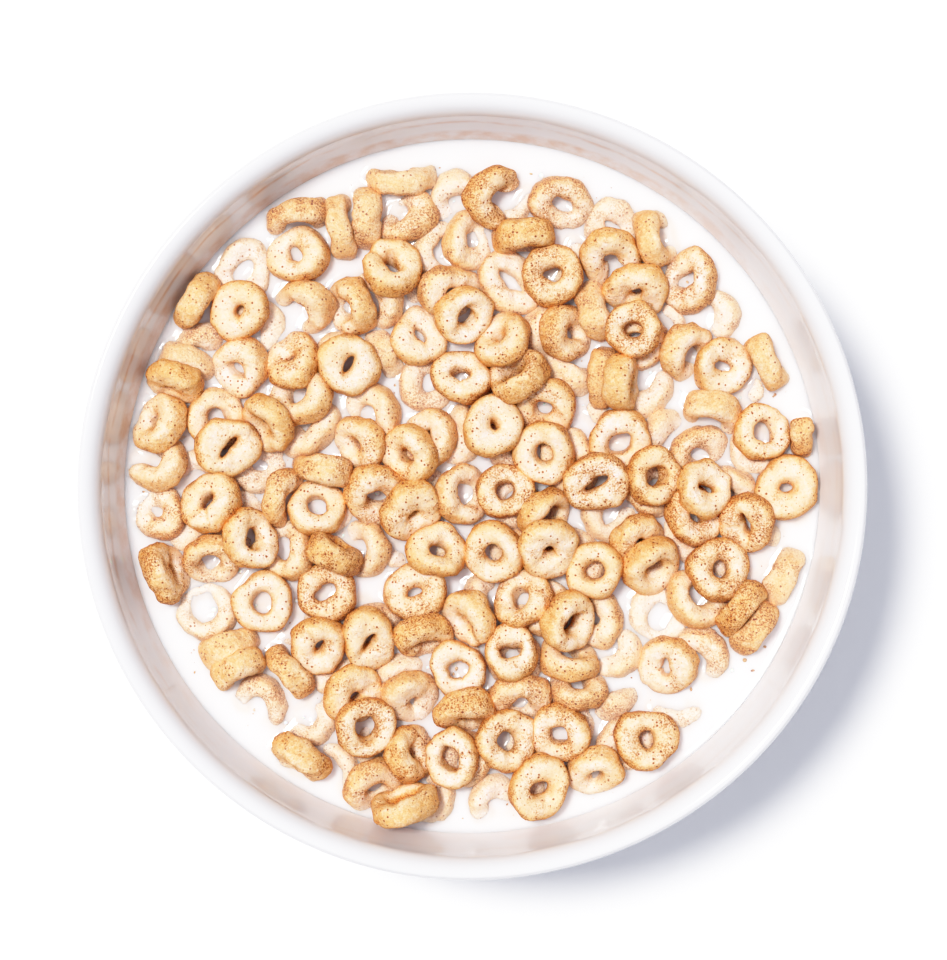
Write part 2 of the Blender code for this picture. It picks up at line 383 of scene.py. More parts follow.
# lets hulls of the rings drop onto the bed inside a wall, and gives back where each ring came to lie
def settleRings(rings):
    scene = bpy.context.scene
    scale = settle["scale"]
    count = rings["count"]
    bpy.ops.rigidbody.world_add()
    world = scene.rigidbody_world
    world.collection = bpy.data.collections.new("settlingBodies")
    world.substeps_per_frame = settle["stepsPerFrame"]
    world.solver_iterations = 12
    world.point_cache.frame_end = settle["frames"] + 1
    scene.gravity = (0, 0, -settle["pull"])

    around = 120
    angle = np.linspace(0, turn, around, endpoint=False)[None, :]
    radial = np.linspace(0.02, 1, 30)[:, None] * raftRadius(angle, 0)
    x = radial * np.cos(angle)
    y = radial * np.sin(angle)
    bed = np.stack((x, y, bedHeight(x, y)), axis=-1)
    wallHeight = np.linspace(0.001, 0.12, 8)[:, None]
    radius = raftRadius(angle, wallHeight)
    wall = (radius * np.cos(angle), radius * np.sin(angle), wallHeight + 0 * angle)
    wall = np.stack(np.broadcast_arrays(*wall), axis=-1)
    points = np.concatenate((bed, wall))
    centre = np.array([[0.0, 0.0, float(bedHeight(0.0, 0.0))]])
    rows = len(points)
    faces = gridFaces(rows, around).tolist() + fanFaces(rows * around, 0, around).tolist()
    bedObject = addObject("settlingBed", np.concatenate((points.reshape(-1, 3), centre)) * scale, faces)
    made = [bedObject]

    places, facing = startPlaces(count)
    order = np.random.default_rng(settle["seed"] + 2).permutation(count)
    long, short = settle["hullPoints"]
    u = (np.arange(long) / long * turn)[None, :, None]
    v = (np.arange(short) / short * turn)[None, None, :]
    hulls = ringSurface(rings, np.arange(count), u, v).reshape(count, -1, 3) * scale * settle["hull"]
    hullFaces = gridFaces(long, short, wrapRows=True).tolist()
    bodies = []
    for ring in range(count):
        body = addObject(f"settling{ring}", hulls[ring], hullFaces)
        body.rotation_mode = "QUATERNION"
        body.location = places[order[ring]] * scale
        body.rotation_quaternion = facing[order[ring]]
        bodies.append(body)
    made += bodies
    for piece in made:
        world.collection.objects.link(piece)
    for piece in made:
        bpy.context.view_layer.objects.active = piece
        if piece.rigid_body is None:
            with bpy.context.temp_override(object=piece, active_object=piece, selected_objects=[piece]):
                bpy.ops.rigidbody.object_add()
        body = piece.rigid_body
        body.friction = settle["friction"]
        body.restitution = 0.0
        body.use_margin = True
        body.collision_margin = 0.01
        if piece is bedObject:
            body.type = "PASSIVE"
            body.collision_shape = "MESH"
            continue
        body.type = "ACTIVE"
        body.collision_shape = "CONVEX_HULL"
        body.mass = 1.0
        body.linear_damping = settle["drag"]
        body.angular_damping = settle["turnDrag"]
        body.use_deactivation = False
    for step in range(1, settle["frames"] + 1):
        scene.frame_set(step)
    matrices = np.array([np.array(body.matrix_world) for body in bodies])
    scene.frame_set(1)
    bpy.ops.rigidbody.world_remove()
    for piece in made:
        mesh = piece.data
        bpy.data.objects.remove(piece)
        bpy.data.meshes.remove(mesh)
    turns = matrices[:, :3, :3]
    shifts = matrices[:, :3, 3] / scale
    return turns, shifts


turns, shifts = settleRings(rings)
shifts = shifts + np.array([0, 0, milkLevel])
print("rings settled: centres from", shifts[:, 2].min(), "to", shifts[:, 2].max())


# ring points in the bowl: each ring's own points, turned and moved to where it settled
def placedPoints(pick, u, v):
    local = ringSurface(rings, pick, u, v)
    return np.einsum("nij,nuvj->nuvi", turns[pick], local) + shifts[pick][:, None, None, :]


# even steps round a full turn; when it isn't closed, the last step lies on the full turn
def steps(count, closed=True):
    return np.linspace(0.0, turn, count, endpoint=not closed)


# what the milk sees of the rings, on a fine square raster

raster = {"cell": 0.00030, "reach": 0.0024, "around": 110, "across": 56, "heapAround": 72, "heapAcross": 36}


def rasterIndex(x, y):
    side = 2 * int(milkRadius / raster["cell"]) + 9
    half = side // 2
    column = np.rint(x / raster["cell"]).astype(int) + half
    row = np.rint(y / raster["cell"]).astype(int) + half
    return row.clip(0, side - 1), column.clip(0, side - 1), side


# where a ring stands through the milk's level, and how deep the nearest ring lies under it elsewhere
def readRings():
    side = rasterIndex(np.zeros(1), np.zeros(1))[2]
    through = np.zeros((side, side), bool)
    depth = np.full((side, side), 1.0)
    u = steps(raster["around"])[None, :, None]
    v = steps(raster["across"])[None, None, :]
    for ring in range(rings["count"]):
        points = placedPoints(np.array([ring]), u, v).reshape(-1, 3)
        row, column, _ = rasterIndex(points[:, 0], points[:, 1])
        r0, r1, c0, c1 = row.min(), row.max() + 1, column.min(), column.max() + 1
        top = np.full((r1 - r0, c1 - c0), -1.0)
        low = np.full_like(top, 2.0)
        np.maximum.at(top, (row - r0, column - c0), points[:, 2] - milkLevel)
        np.minimum.at(low, (row - r0, column - c0), points[:, 2] - milkLevel)
        through[r0:r1, c0:c1] |= (top > 0) & (low < 0)
        sunk = (top <= 0) & (top > -0.5)
        depth[r0:r1, c0:c1] = np.where(sunk, np.minimum(depth[r0:r1, c0:c1], -top), depth[r0:r1, c0:c1])
    return through, depth


# distance from every cell to the nearest marked one, as far as the reach
def distanceTo(marked):
    reach = int(raster["reach"] / raster["cell"])
    best = np.full(marked.shape, float(reach + 1))
    for dy in range(-reach, reach + 1):
        for dx in range(-reach, reach + 1):
            away = math.hypot(dx, dy)
            if away > reach:
                continue
            moved = np.roll(marked, (dy, dx), axis=(0, 1))
            best = np.where(moved, np.minimum(best, away), best)
    return best * raster["cell"]


# height of the highest ring over each cell, spread and softened
def readHeap():
    side = rasterIndex(np.zeros(1), np.zeros(1))[2]
    surface = np.full((side, side), milkLevel)
    u = steps(raster["heapAround"])[None, :, None]
    v = steps(raster["heapAcross"])[None, None, :]
    points = placedPoints(np.arange(rings["count"]), u, v).reshape(-1, 3)
    row, column, _ = rasterIndex(points[:, 0], points[:, 1])
    np.maximum.at(surface, (row, column), points[:, 2])
    return soften(surface, paintedEdgeShade["spread"])


# each pass mixes every cell with its neighbours
def soften(values, times):
    for _ in range(times):
        for axis in (0, 1):
            values = (np.roll(values, 1, axis) + 2 * values + np.roll(values, -1, axis)) / 4
    return values


# value between the four cells round a point
def sampleRaster(values, x, y):
    side = values.shape[0]
    column = (x / raster["cell"] + side // 2).clip(0, side - 1.001)
    row = (y / raster["cell"] + side // 2).clip(0, side - 1.001)
    c0, r0 = column.astype(int), row.astype(int)
    c, r = column - c0, row - r0
    near = values[r0, c0] * (1 - c) + values[r0, c0 + 1] * c
    far = values[r0 + 1, c0] * (1 - c) + values[r0 + 1, c0 + 1] * c
    return near * (1 - r) + far * r


# bowl: half section turned about Z

bowlShape = {
    "wall": 0.0044,
    "flatRadius": 0.030,
    "sideCentreHeight": 0.070,
    "footHeight": 0.005,
    "footRadius": 0.0395,
    "footWidth": 0.0045,
    "footRound": 0.0009,
    "underside": 0.0032,
    "sidePoints": 44,
    "rimPoints": 9,
    "rimShoulder": 0.0046,  # how deep the inner edge's soft round goes
    "rimOuter": (0.0009, 0.0015),  # width and height of the tighter round outside
    "around": 288,
    "unevenness": 0.00018,
}


# the side is part of a quarter ellipse: radius and height of it by angle, inset from the outer surface
def sideEllipse(inset):
    b = bowlShape
    depth = b["sideCentreHeight"] - b["footHeight"]
    rise = (b["sideCentreHeight"] - (rimHeight - b["wall"] / 2)) / depth
    width = (rimRadius - b["flatRadius"]) / math.sqrt(1 - rise * rise)
    return width - inset, depth - inset


# points of the side from the flat floor up to a height
def sideLine(inset, top, count):
    width, depth = sideEllipse(inset)
    centre = bowlShape["sideCentreHeight"]
    angle = np.linspace(math.pi / 2, math.asin((centre - top) / depth), count)
    return np.column_stack((bowlShape["flatRadius"] + width * np.cos(angle), centre - depth * np.sin(angle)))


def arcLine(centre, radius, start, end, count):
    angle = np.radians(np.linspace(start, end, count))
    return np.column_stack((centre[0] + radius[0] * np.cos(angle), centre[1] + radius[1] * np.sin(angle)))


# half section from the middle of the floor over the rim to the middle of the underside
def bowlProfile():
    b = bowlShape
    wall = b["wall"]
    shoulder = rimHeight - b["rimShoulder"]
    rimWidth, rimDrop = b["rimOuter"]
    inside = sideLine(wall, shoulder, b["sidePoints"])
    outside = sideLine(0, rimHeight - rimDrop, b["sidePoints"])[::-1]
    crest = outside[0, 0] - rimWidth
    rimIn = arcLine((crest, shoulder), (crest - inside[-1, 0], b["rimShoulder"]), 180, 90, b["rimPoints"])
    rimOut = arcLine((crest, rimHeight - rimDrop), (rimWidth, rimDrop), 90, 0, b["rimPoints"])
    outside = outside[outside[:, 0] > b["footRadius"] + 2.2 * b["footRound"]]
    footInner = b["footRadius"] - b["footWidth"]
    r = b["footRound"]
    start = outside[-1]
    join = arcLine((b["footRadius"] + r, start[1] - r * 0.9), (r, r), 90, 180, 5)
    foot = np.concatenate((
        join,
        arcLine((b["footRadius"] - r, r), (r, r), 0, -90, 7),
        arcLine((footInner + r, r), (r, r), -90, -180, 7),
        [[footInner, b["underside"] - r]],
        arcLine((footInner - r, b["underside"] - r), (r, r), 0, 90, 5),
    ))
    floorHeight = b["footHeight"] + wall
    floor = np.column_stack((np.linspace(0, b["flatRadius"], 8)[1:-1], np.full(6, floorHeight)))
    under = np.column_stack((np.linspace(footInner - r, 0, 8)[1:-1], np.full(6, b["underside"])))
    profile = np.concatenate((floor, inside, rimIn[1:], rimOut[1:-1], outside, foot, under))
    inner = np.arange(len(profile)) < len(floor) + len(inside)
    return profile, inner, floorHeight


# every profile point goes round the axis, with a slight wobble that grows towards the rim
def buildBowl():
    profile, inner, floorHeight = bowlProfile()
    around = bowlShape["around"]
    angle = steps(around)[None, :]
    radius, height = profile[:, :1], profile[:, 1:]
    lift = (height / rimHeight) ** 2
    wobble = np.sin(2 * angle + 0.7) + 0.6 * np.sin(3 * angle + 2.4) + 0.4 * np.sin(5 * angle + 4.4)
    radius = radius + bowlShape["unevenness"] * lift * wobble
    grid = (radius * np.cos(angle), radius * np.sin(angle), height + 0 * angle)
    grid = np.stack(np.broadcast_arrays(*grid), axis=-1)
    poles = np.array([[0, 0, floorHeight], [0, 0, bowlShape["underside"]]])
    rows = len(profile)
    faces = gridFaces(rows, around)[:, ::-1].tolist()
    faces += fanFaces(rows * around, 0, around, flip=True).tolist()
    faces += fanFaces(rows * around + 1, (rows - 1) * around, around).tolist()
    piece = addObject("bowlGlazed", np.concatenate((grid.reshape(-1, 3), poles)), faces)
    setAttribute(piece, "inner", np.append(np.repeat(inner, around), (1, 0)))
    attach(piece, "root")
    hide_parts("bowl")
    return piece


# milk: a fine level surface, raised where it wets the rings and the wall

milkShape = {
    "cells": 264,
    "reachIntoWall": 0.00100,
    "ringRise": 0.00042,
    "ringRiseLength": 0.00050,
    "wallRise": 0.00080,
    "wallRiseLength": 0.00180,
    "ripple": 0.00004,
    "sightDepth": 0.00085,  # how deep a ring still shows through
    "wallRows": 9,
    "wallTop": 0.0008,  # how far under its level the milk's side starts
}


# even mapping of the square from -1 to 1 onto the unit disc
def discFromSquare(x, y):
    radius = np.maximum(np.abs(x), np.abs(y))
    safe = np.maximum(radius, 1e-9)
    wide = np.abs(x) >= np.abs(y)
    quarter = np.where(wide, y * np.sign(x), -x * np.sign(y)) / safe * math.pi / 4
    start = np.where(wide, np.where(x >= 0, 0, math.pi), np.where(y >= 0, math.pi / 2, -math.pi / 2))
    return radius, start + quarter


# a square grid bent to a disc; it rises near the rings and the wall as exp(-distance / length),
# and goes down along the bowl's side to a flat bottom
def buildMilk():
    m = milkShape
    rise = soften(m["ringRise"] * np.exp(-ringDistance / m["ringRiseLength"]), 2)
    clear = np.exp(-((ringDepth / m["sightDepth"]) ** 1.3))
    clear = np.where(ringThrough, 0.6, clear)
    clear = soften(clear, 3)

    count = m["cells"]
    side = np.linspace(-1, 1, count + 1)
    squareX, squareY = np.meshgrid(side, side, indexing="ij")
    share, angle = discFromSquare(squareX, squareY)
    edge = milkRadius + m["reachIntoWall"]
    x = edge * share * np.cos(angle)
    y = edge * share * np.sin(angle)
    toWall = edge * (1 - share)
    height = milkLevel + sampleRaster(rise, x, y) + m["wallRise"] * np.exp(-toWall / m["wallRiseLength"])
    height = height + m["ripple"] * (np.sin(x * 410 + 1.0) * np.cos(y * 370) + np.sin(x * 150 - y * 210))
    top = np.stack((x, y, height), axis=-1).reshape(-1, 3)

    stride = count + 1
    i, j = np.meshgrid(np.arange(count), np.arange(count), indexing="ij")
    first = i * stride + j
    faces = np.stack((first, first + stride, first + stride + 1, first + 1), axis=-1).reshape(-1, 4).tolist()
    walk = np.arange(count)
    back = count - walk
    border = np.concatenate((walk * stride, count * stride + walk, back * stride + count, back))
    borderAngle = np.arctan2(top[border, 1], top[border, 0])
    line = sideLine(bowlShape["wall"] - m["reachIntoWall"], milkLevel - m["wallTop"], m["wallRows"])[::-1]
    rows = np.stack([
        np.stack((r * np.cos(borderAngle), r * np.sin(borderAngle), np.full(len(border), z)), axis=-1)
        for r, z in line
    ])
    loops = len(border)
    base = len(top)
    step = np.arange(loops)
    nextStep = (step + 1) % loops
    previous = border
    for row in range(len(rows)):
        current = base + row * loops + step
        quads = np.column_stack((previous[step], current, current[nextStep], previous[nextStep]))
        faces += quads[:, ::-1].tolist()
        previous = current
    pole = base + len(rows) * loops
    faces += np.column_stack((np.full(loops, pole), previous, previous[nextStep])).tolist()
    points = np.concatenate((top, rows.reshape(-1, 3), [[0, 0, line[-1][1]]]))
    piece = addObject("milkSurface", points, faces)
    seen = np.zeros(len(points))
    seen[: len(top)] = sampleRaster(clear, x, y).ravel()
    setAttribute(piece, "ringBelow", seen)
    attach(piece, "root")
    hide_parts("milk")
    return piece


# rings as meshes, one piece for each kind

# painted shade on the rings: browner where the skin turns from above, on the tube's outer side and deep
# between neighbours
paintedEdgeShade = {
    "side": 0.70,
    "sidePower": 1.5,
    "rim": 0.30,  # painted shade on the tube's outer side
    "crevice": 1.30,
    "creviceDepth": 0.0048,
    "spread": 9,
}
brokenEnd = 0.10  # share of a broken ring's half that rounds off
soakDepth = 0.004  # how deep a ring's centre lies when it is soaked all over


# painted shade: browner where the skin turns away from above, on a ring's outer side, and most of all deep
# between
# neighbours, where shade falls: the height of the heap, spread out sideways, tells how far a point lies below
# its surroundings
def paintedEdgeShadeAmount(piece, points, outward):
    normals = np.empty(len(points) * 3)
    piece.data.vertices.foreach_get("normal", normals)
    upward = normals.reshape(-1, 3)[:, 2].clip(0, 1)
    side = paintedEdgeShade["side"] * (1 - upward) ** paintedEdgeShade["sidePower"]
    below = sampleRaster(heapSurface, points[:, 0], points[:, 1]) - points[:, 2]
    below = below / paintedEdgeShade["creviceDepth"]
    return side + paintedEdgeShade["rim"] * outward + paintedEdgeShade["crevice"] * below.clip(0, 1)


# every ring again with more points, where it settled; the ends of broken rings taper to a closed point
def buildRings():
    made = []
    around, across = ringShape["around"], ringShape["across"]
    for index, kindName in enumerate(rings["kindNames"]):
        pick = np.flatnonzero(rings["kind"] == index)
        broken = kindName == "ringsBroken"
        u = steps(around, closed=not broken)[None, :, None]
        v = steps(across)[None, None, :]
        points = placedPoints(pick, u, v)
        perRing = around * across
        one = gridFaces(around, across, wrapRows=not broken).tolist()
        if broken:
            centre = points.mean(axis=2, keepdims=True)
            t = np.linspace(-1, 1, around)[None, :, None, None]
            taper = np.clip((1 - np.abs(t)) / brokenEnd, 0.0, 1.0)
            taper = np.sqrt(1 - (1 - taper) ** 2)
            points = centre + (points - centre) * taper
            ends = points[:, [0, -1]].mean(axis=2)
            points = np.concatenate((points.reshape(len(pick), -1, 3), ends), axis=1)
            one += fanFaces(perRing, 0, across).tolist()
            one += fanFaces(perRing + 1, perRing - across, across, flip=True).tolist()
            perRing += 2
        piece = addObject(kindName, points, repeatFaces(one, len(pick), perRing))
        layCells(piece, len(pick), around, across, wrapRows=not broken, fans=2 if broken else 0)
        vertical = points.reshape(-1, 3)[:, 2]
        setAttribute(piece, "overMilk", vertical - milkLevel)
        outward = np.cos(steps(across)).clip(0, 1) ** 2
        outward = np.concatenate((np.tile(outward, around), np.zeros(perRing - around * across)))
        # edge attribute: painted shade on skin that turns from above, on the tube's outer side and between
        # rings
        setAttribute(piece, "edge", paintedEdgeShadeAmount(piece, points.reshape(-1, 3), np.tile(outward, len(pick))))
        setAttribute(piece, "dust", np.repeat(rings["dust"][pick], perRing))
        setAttribute(piece, "toast", np.repeat(rings["toast"][pick], perRing))
        soak = np.clip(0.5 - (shifts[pick, 2] - milkLevel) / soakDepth, 0, 1)
        setAttribute(piece, "soak", np.repeat(soak, perRing))
        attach(piece, "root")
        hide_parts("cereal")
        made.append(piece)
    return made


# crumbs and bubbles on the milk

crumbShape = {
    "count": 110,
    "size": (0.00012, 0.00042),
    "rows": 5,
    "around": 8,
    "nearRing": 0.0030,  # how far from a ring they may lie
    "dent": 0.16,
    "flatness": 0.75,
    "sunk": 0.25,  # how high their middle floats, in sizes
    "seed": 31,
}
bubbleShape = {
    "count": 60,
    "size": (0.00028, 0.00080),
    "rows": 4,
    "around": 14,
    "nearRing": 0.0012,
    "flatness": 0.62,
    "skirt": math.pi * 0.62,  # how far round from the top the dome goes
    "sunk": 0.10,
    "seed": 32,
}
placeLimits = {"triesEach": 60, "wallGap": 0.0015, "ringGap": 0.0002, "smallerPower": 2.2}


# random places on open milk within a distance of some ring, with a size for each
def milkPlaces(shape):
    random = np.random.default_rng(shape["seed"])
    tries = placeLimits["triesEach"] * shape["count"]
    radius = (milkRadius - placeLimits["wallGap"]) * np.sqrt(random.uniform(0, 1, tries))
    angle = random.uniform(0, turn, tries)
    x, y = radius * np.cos(angle), radius * np.sin(angle)
    low, high = shape["size"]
    size = low + (high - low) * random.uniform(0, 1, tries) ** placeLimits["smallerPower"]
    away = sampleRaster(ringDistance, x, y)
    fits = (away > size * 0.7 + placeLimits["ringGap"]) & (away < shape["nearRing"])
    kept = np.flatnonzero(fits)[: shape["count"]]
    middle = np.stack((x[kept], y[kept], milkLevel + shape["sunk"] * size[kept]), axis=-1)
    return middle[:, None, :], size[kept][:, None, None], random


# directions in rows and columns round a sphere, then the two poles; flatness scales their height
def blobDirections(lean, around, flatness=1.0):
    lean = lean[:, None]
    angle = steps(around)[None, :]
    level = np.sin(lean)
    grid = (level * np.cos(angle), level * np.sin(angle), flatness * np.cos(lean) + 0 * angle)
    return np.stack(np.broadcast_arrays(*grid), axis=-1).reshape(1, -1, 3)


def blobFaces(rows, around):
    last = rows * around
    one = gridFaces(rows, around)[:, ::-1].tolist() + fanFaces(last, 0, around).tolist()
    return one + fanFaces(last + 1, last - around, around, flip=True).tolist()


# rounded grains: a sphere's rows and columns, dented by waves of its direction
def buildCrumbs():
    middle, size, random = milkPlaces(crumbShape)
    count, rows, around = len(middle), crumbShape["rows"], crumbShape["around"]
    direction = blobDirections(np.linspace(0, math.pi, rows + 2)[1:-1], around)
    direction = np.concatenate((direction, [[[0, 0, 1], [0, 0, -1]]]), axis=1)
    wave = random.normal(0, 2.2, (count, 3, 3))
    phase = np.einsum("mvk,nwk->nvw", direction, wave) + random.uniform(0, turn, (count, 1, 3))
    dent = crumbShape["dent"] * np.sin(phase).sum(axis=-1)[..., None]
    stretch = (random.uniform(0.7, 1.4, (count, 2)), np.full(count, crumbShape["flatness"]))
    stretch = np.column_stack(stretch)[:, None, :]
    points = direction * (1 + dent) * size * stretch + middle
    stride = rows * around + 2
    faces = repeatFaces(blobFaces(rows, around), count, stride)
    piece = addObject("cerealCrumbs", points, faces)
    layCells(piece, count, rows, around, fans=2)
    setAttribute(piece, "overMilk", points[..., 2] - milkLevel + 0.0008)
    setAttribute(piece, "edge", np.repeat(random.uniform(0.2, 1.2, count), stride))
    setAttribute(piece, "dust", np.repeat(random.uniform(0.3, 1.0, count), stride))
    setAttribute(piece, "toast", np.repeat(random.uniform(0.3, 1.0, count), stride))
    setAttribute(piece, "soak", np.zeros(count * stride))
    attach(piece, "root")
    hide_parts("cereal")
    return piece


# low domes: height falls from the middle as a quarter circle, and a skirt goes just under the milk
def buildBubbles():
    middle, size, _ = milkPlaces(bubbleShape)
    count, rows, around = len(middle), bubbleShape["rows"], bubbleShape["around"]
    flatness, skirt = bubbleShape["flatness"], bubbleShape["skirt"]
    dome = blobDirections(np.linspace(math.pi / 2 / rows, skirt, rows), around, flatness)
    dome = np.concatenate((dome, [[[0, 0, flatness], [0, 0, flatness * math.cos(skirt)]]]), axis=1)
    points = dome * size + middle
    faces = repeatFaces(blobFaces(rows, around), count, rows * around + 2)
    piece = addObject("milkBubbles", points, faces)
    layCells(piece, count, rows, around, fans=2)
    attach(piece, "root")
    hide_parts("milk")
    return piece


# materials

# node functions that the materials share, for one material's nodes
def mathTools(make, coordinates):
    def math2(operation, a, b, clamp=False):
        node = make("ShaderNodeMath", {"operation": operation, "use_clamp": clamp}, in0=a, in1=b)
        return node.outputs[0]

    def remap(value, low, high, toLow=0.0, toHigh=1.0):
        limits = {"From_Min": low, "From_Max": high, "To_Min": toLow, "To_Max": toHigh}
        return make("ShaderNodeMapRange", None, Value=value, **limits).outputs[0]

    def noise(scale, detail=3.0, roughness=0.55):
        settings = {"Scale": scale, "Detail": detail, "Roughness": roughness}
        return make("ShaderNodeTexNoise", None, Vector=coordinates, **settings).outputs["Fac"]

    # round spots of uneven size in a given share of the cells, with soft edges
    def grains(scale, size, share):
        node = make("ShaderNodeTexVoronoi", None, Vector=coordinates, Scale=scale, Randomness=1.0)
        number, other, _ = make("ShaderNodeSeparateColor", None, Color=node.outputs["Color"]).outputs
        uneven = remap(other, 0, 1, size * 0.60, size * 1.30)
        spot = remap(node.outputs["Distance"], uneven, math2("MULTIPLY", uneven, 0.6))
        return math2("MULTIPLY", math2("LESS_THAN", number, share), spot)

    def attribute(name):
        return make("ShaderNodeAttribute", {"attribute_name": name}).outputs["Fac"]

    return math2, remap, noise, grains, attribute


ringLook = {
    "cream": (0.985, 0.845, 0.825),
    "toasted": (0.880, 0.570, 0.195),  # what one step of toast, and of painted shade, leaves of red, green and blue
    "cinnamon": (0.700, 0.470, 0.260),  # and one step of cinnamon
    "milkFilm": (0.960, 0.850, 0.735),
    "toast": 0.20,
    "blotches": 0.20,
    "mottle": 0.19,
    # how strongly the edge attribute's painted shade browns the rings
    "edge": 1.45,
    "dust": 0.16,
    "dustGrain": 1.45,
    "edgeGrain": 0.85,
    "fineGrain": 0.60,
    "speck": 3.0,
}


def ringMaterial():
    look = ringLook
    material = bpy.data.materials.new("cerealRing")
    make, shader, links = nodeMaker(material)
    coordinates = make("ShaderNodeTexCoord").outputs["Object"]
    math2, remap, noise, grains, attribute = mathTools(make, coordinates)

    def total(*terms):
        value = terms[0]
        for term in terms[1:]:
            value = math2("ADD", value, term)
        return value

    dust = attribute("dust")
    # edge is painted shade on the rings; on crumbs it is a random browning
    edge = attribute("edge")
    blotch = remap(noise(190, 3), 0.36, 0.66)
    mottle = remap(noise(1150, 3, 0.65), 0.36, 0.66)
    # toast and painted shade together: the edge term paints the shade
    toastAndPaintedShade = total(
        math2("MULTIPLY", attribute("toast"), look["toast"]),
        math2("MULTIPLY", blotch, look["blotches"]),
        math2("MULTIPLY", edge, remap(mottle, 0, 1, 0.65 * look["edge"], 1.35 * look["edge"])),
        math2("MULTIPLY", mottle, look["mottle"]),
    )

    # cinnamon: dusted patches with their grains, more grains and wider patches where the edge attribute paints
    # shade, fine grains and dark specks
    dustLine = math2("ADD", remap(dust, 0, 1, 0.68, 0.42), math2("MULTIPLY", edge, -0.15))
    patch = remap(math2("SUBTRACT", noise(270, 4), dustLine), -0.05, 0.13)
    grain = remap(noise(2600, 2, 0.6), 0.48, 0.58)
    fine = grains(2300, 0.44, math2("ADD", 0.12, math2("MULTIPLY", patch, 0.45)))
    specks = grains(1280, 0.30, math2("ADD", 0.27, math2("MULTIPLY", patch, 0.34)))
    cinnamon = total(
        math2("MULTIPLY", patch, math2("ADD", math2("MULTIPLY", grain, look["dustGrain"]), look["dust"])),
        math2("MULTIPLY", math2("MULTIPLY", edge, grain), look["edgeGrain"]),
        math2("MULTIPLY", fine, look["fineGrain"]),
        math2("MULTIPLY", specks, look["speck"]),
    )

    # a film of milk pales what stands close over the milk, the specks least of all
    near = remap(attribute("overMilk"), 0.0030, 0.0004, 0.0, 0.60)
    film = math2("ADD", near, math2("MULTIPLY", attribute("soak"), 0.30), clamp=True)
    toastAndPaintedShade = math2("MULTIPLY", toastAndPaintedShade, remap(film, 0, 1, 1.0, 0.36))
    cinnamon = math2("MULTIPLY", cinnamon, remap(film, 0, 1, 1.0, 0.85))
    channels = []
    for toasted, spiced, full in zip(look["toasted"], look["cinnamon"], look["cream"]):
        left = math2("MULTIPLY", math2("POWER", toasted, toastAndPaintedShade), math2("POWER", spiced, cinnamon))
        channels.append(math2("MULTIPLY", left, full))
    base = make("ShaderNodeCombineColor", None, in0=channels[0], in1=channels[1], in2=channels[2]).outputs[0]
    wet = make("ShaderNodeMix", {"data_type": "RGBA"}, in0=math2("MULTIPLY", film, 0.45), in6=base)
    wet.inputs[7].default_value = (*look["milkFilm"], 1)
    links.new(wet.outputs[2], shader.inputs["Base Color"])
    links.new(remap(film, 0, 1, 0.62, 0.28), shader.inputs["Roughness"])
    shader.subsurface_method = "BURLEY"
    shader.inputs["Subsurface Weight"].default_value = 0.45
    shader.inputs["Subsurface Radius"].default_value = (1.0, 0.60, 0.32)
    shader.inputs["Subsurface Scale"].default_value = 0.0026
    pits = math2("MULTIPLY", noise(800, 3, 0.65), 0.65)
    rough = math2("ADD", pits, math2("MULTIPLY", noise(2600, 2), 0.35))
    bump = make("ShaderNodeBump", None, Height=rough, Strength=0.9, Distance=0.0009)
    links.new(bump.outputs[0], shader.inputs["Normal"])
    return material


milkLook = {
    "cloudy": (0.885, 0.870, 0.880),
    "clear": (0.900, 0.885, 0.895),
    "overRing": (0.880, 0.740, 0.620),  # where a ring shows through from just under the surface
    "overRingAmount": 0.80,
    "speck": (0.25, 0.13, 0.07),
    "roughness": 0.08,
}


def milkMaterial():
    look = milkLook
    material = bpy.data.materials.new("milkWhite")
    make, shader, links = nodeMaker(material)
    coordinates = make("ShaderNodeTexCoord").outputs["Object"]
    math2, remap, noise, _, attribute = mathTools(make, coordinates)

    def blend(amount, below, colour):
        node = make("ShaderNodeMix", {"data_type": "RGBA"}, in0=amount, in6=below)
        node.inputs[7].default_value = (*colour, 1)
        return node.outputs[2]

    tint = blend(noise(120.0, 2.0, 0.5), (*look["cloudy"], 1), look["clear"])
    seen = math2("MULTIPLY", attribute("ringBelow"), look["overRingAmount"])
    sunk = blend(seen, tint, look["overRing"])
    speck = make("ShaderNodeTexVoronoi", None, Vector=coordinates, Scale=420.0)
    number = make("ShaderNodeSeparateColor", None, Color=speck.outputs["Color"]).outputs[0]
    dark = math2("MULTIPLY", math2("LESS_THAN", number, 0.16), remap(speck.outputs["Distance"], 0.055, 0.03))
    links.new(blend(dark, sunk, look["speck"]), shader.inputs["Base Color"])
    shader.inputs["Roughness"].default_value = look["roughness"]
    shader.inputs["IOR"].default_value = 1.35
    shader.inputs["Subsurface Weight"].default_value = 0.9
    shader.inputs["Subsurface Radius"].default_value = (1.0, 0.93, 0.88)
    shader.inputs["Subsurface Scale"].default_value = 0.0035
    return material


glazeLook = {
    "white": (0.795, 0.790, 0.796),
    "residueAndReflection": (0.66, 0.43, 0.29),  # brown streaks just over the milk's level: painted reflection of the rings, with dried milk and cinnamon
    "residueAndReflectionAmount": 0.80,
    "residueAndReflectionHeight": 0.0045,
    "lineHeight": 0.0098,  # faint wavy brown line higher up: painted reflection of the heap's front edge in the glaze
    "lineWave": 0.0024,
    "lineWidth": 0.00075,
    "lineAmount": 0.80,
    "browner": math.radians(125),  # heading of the side with the most brown, the wall turned away from the key light
}


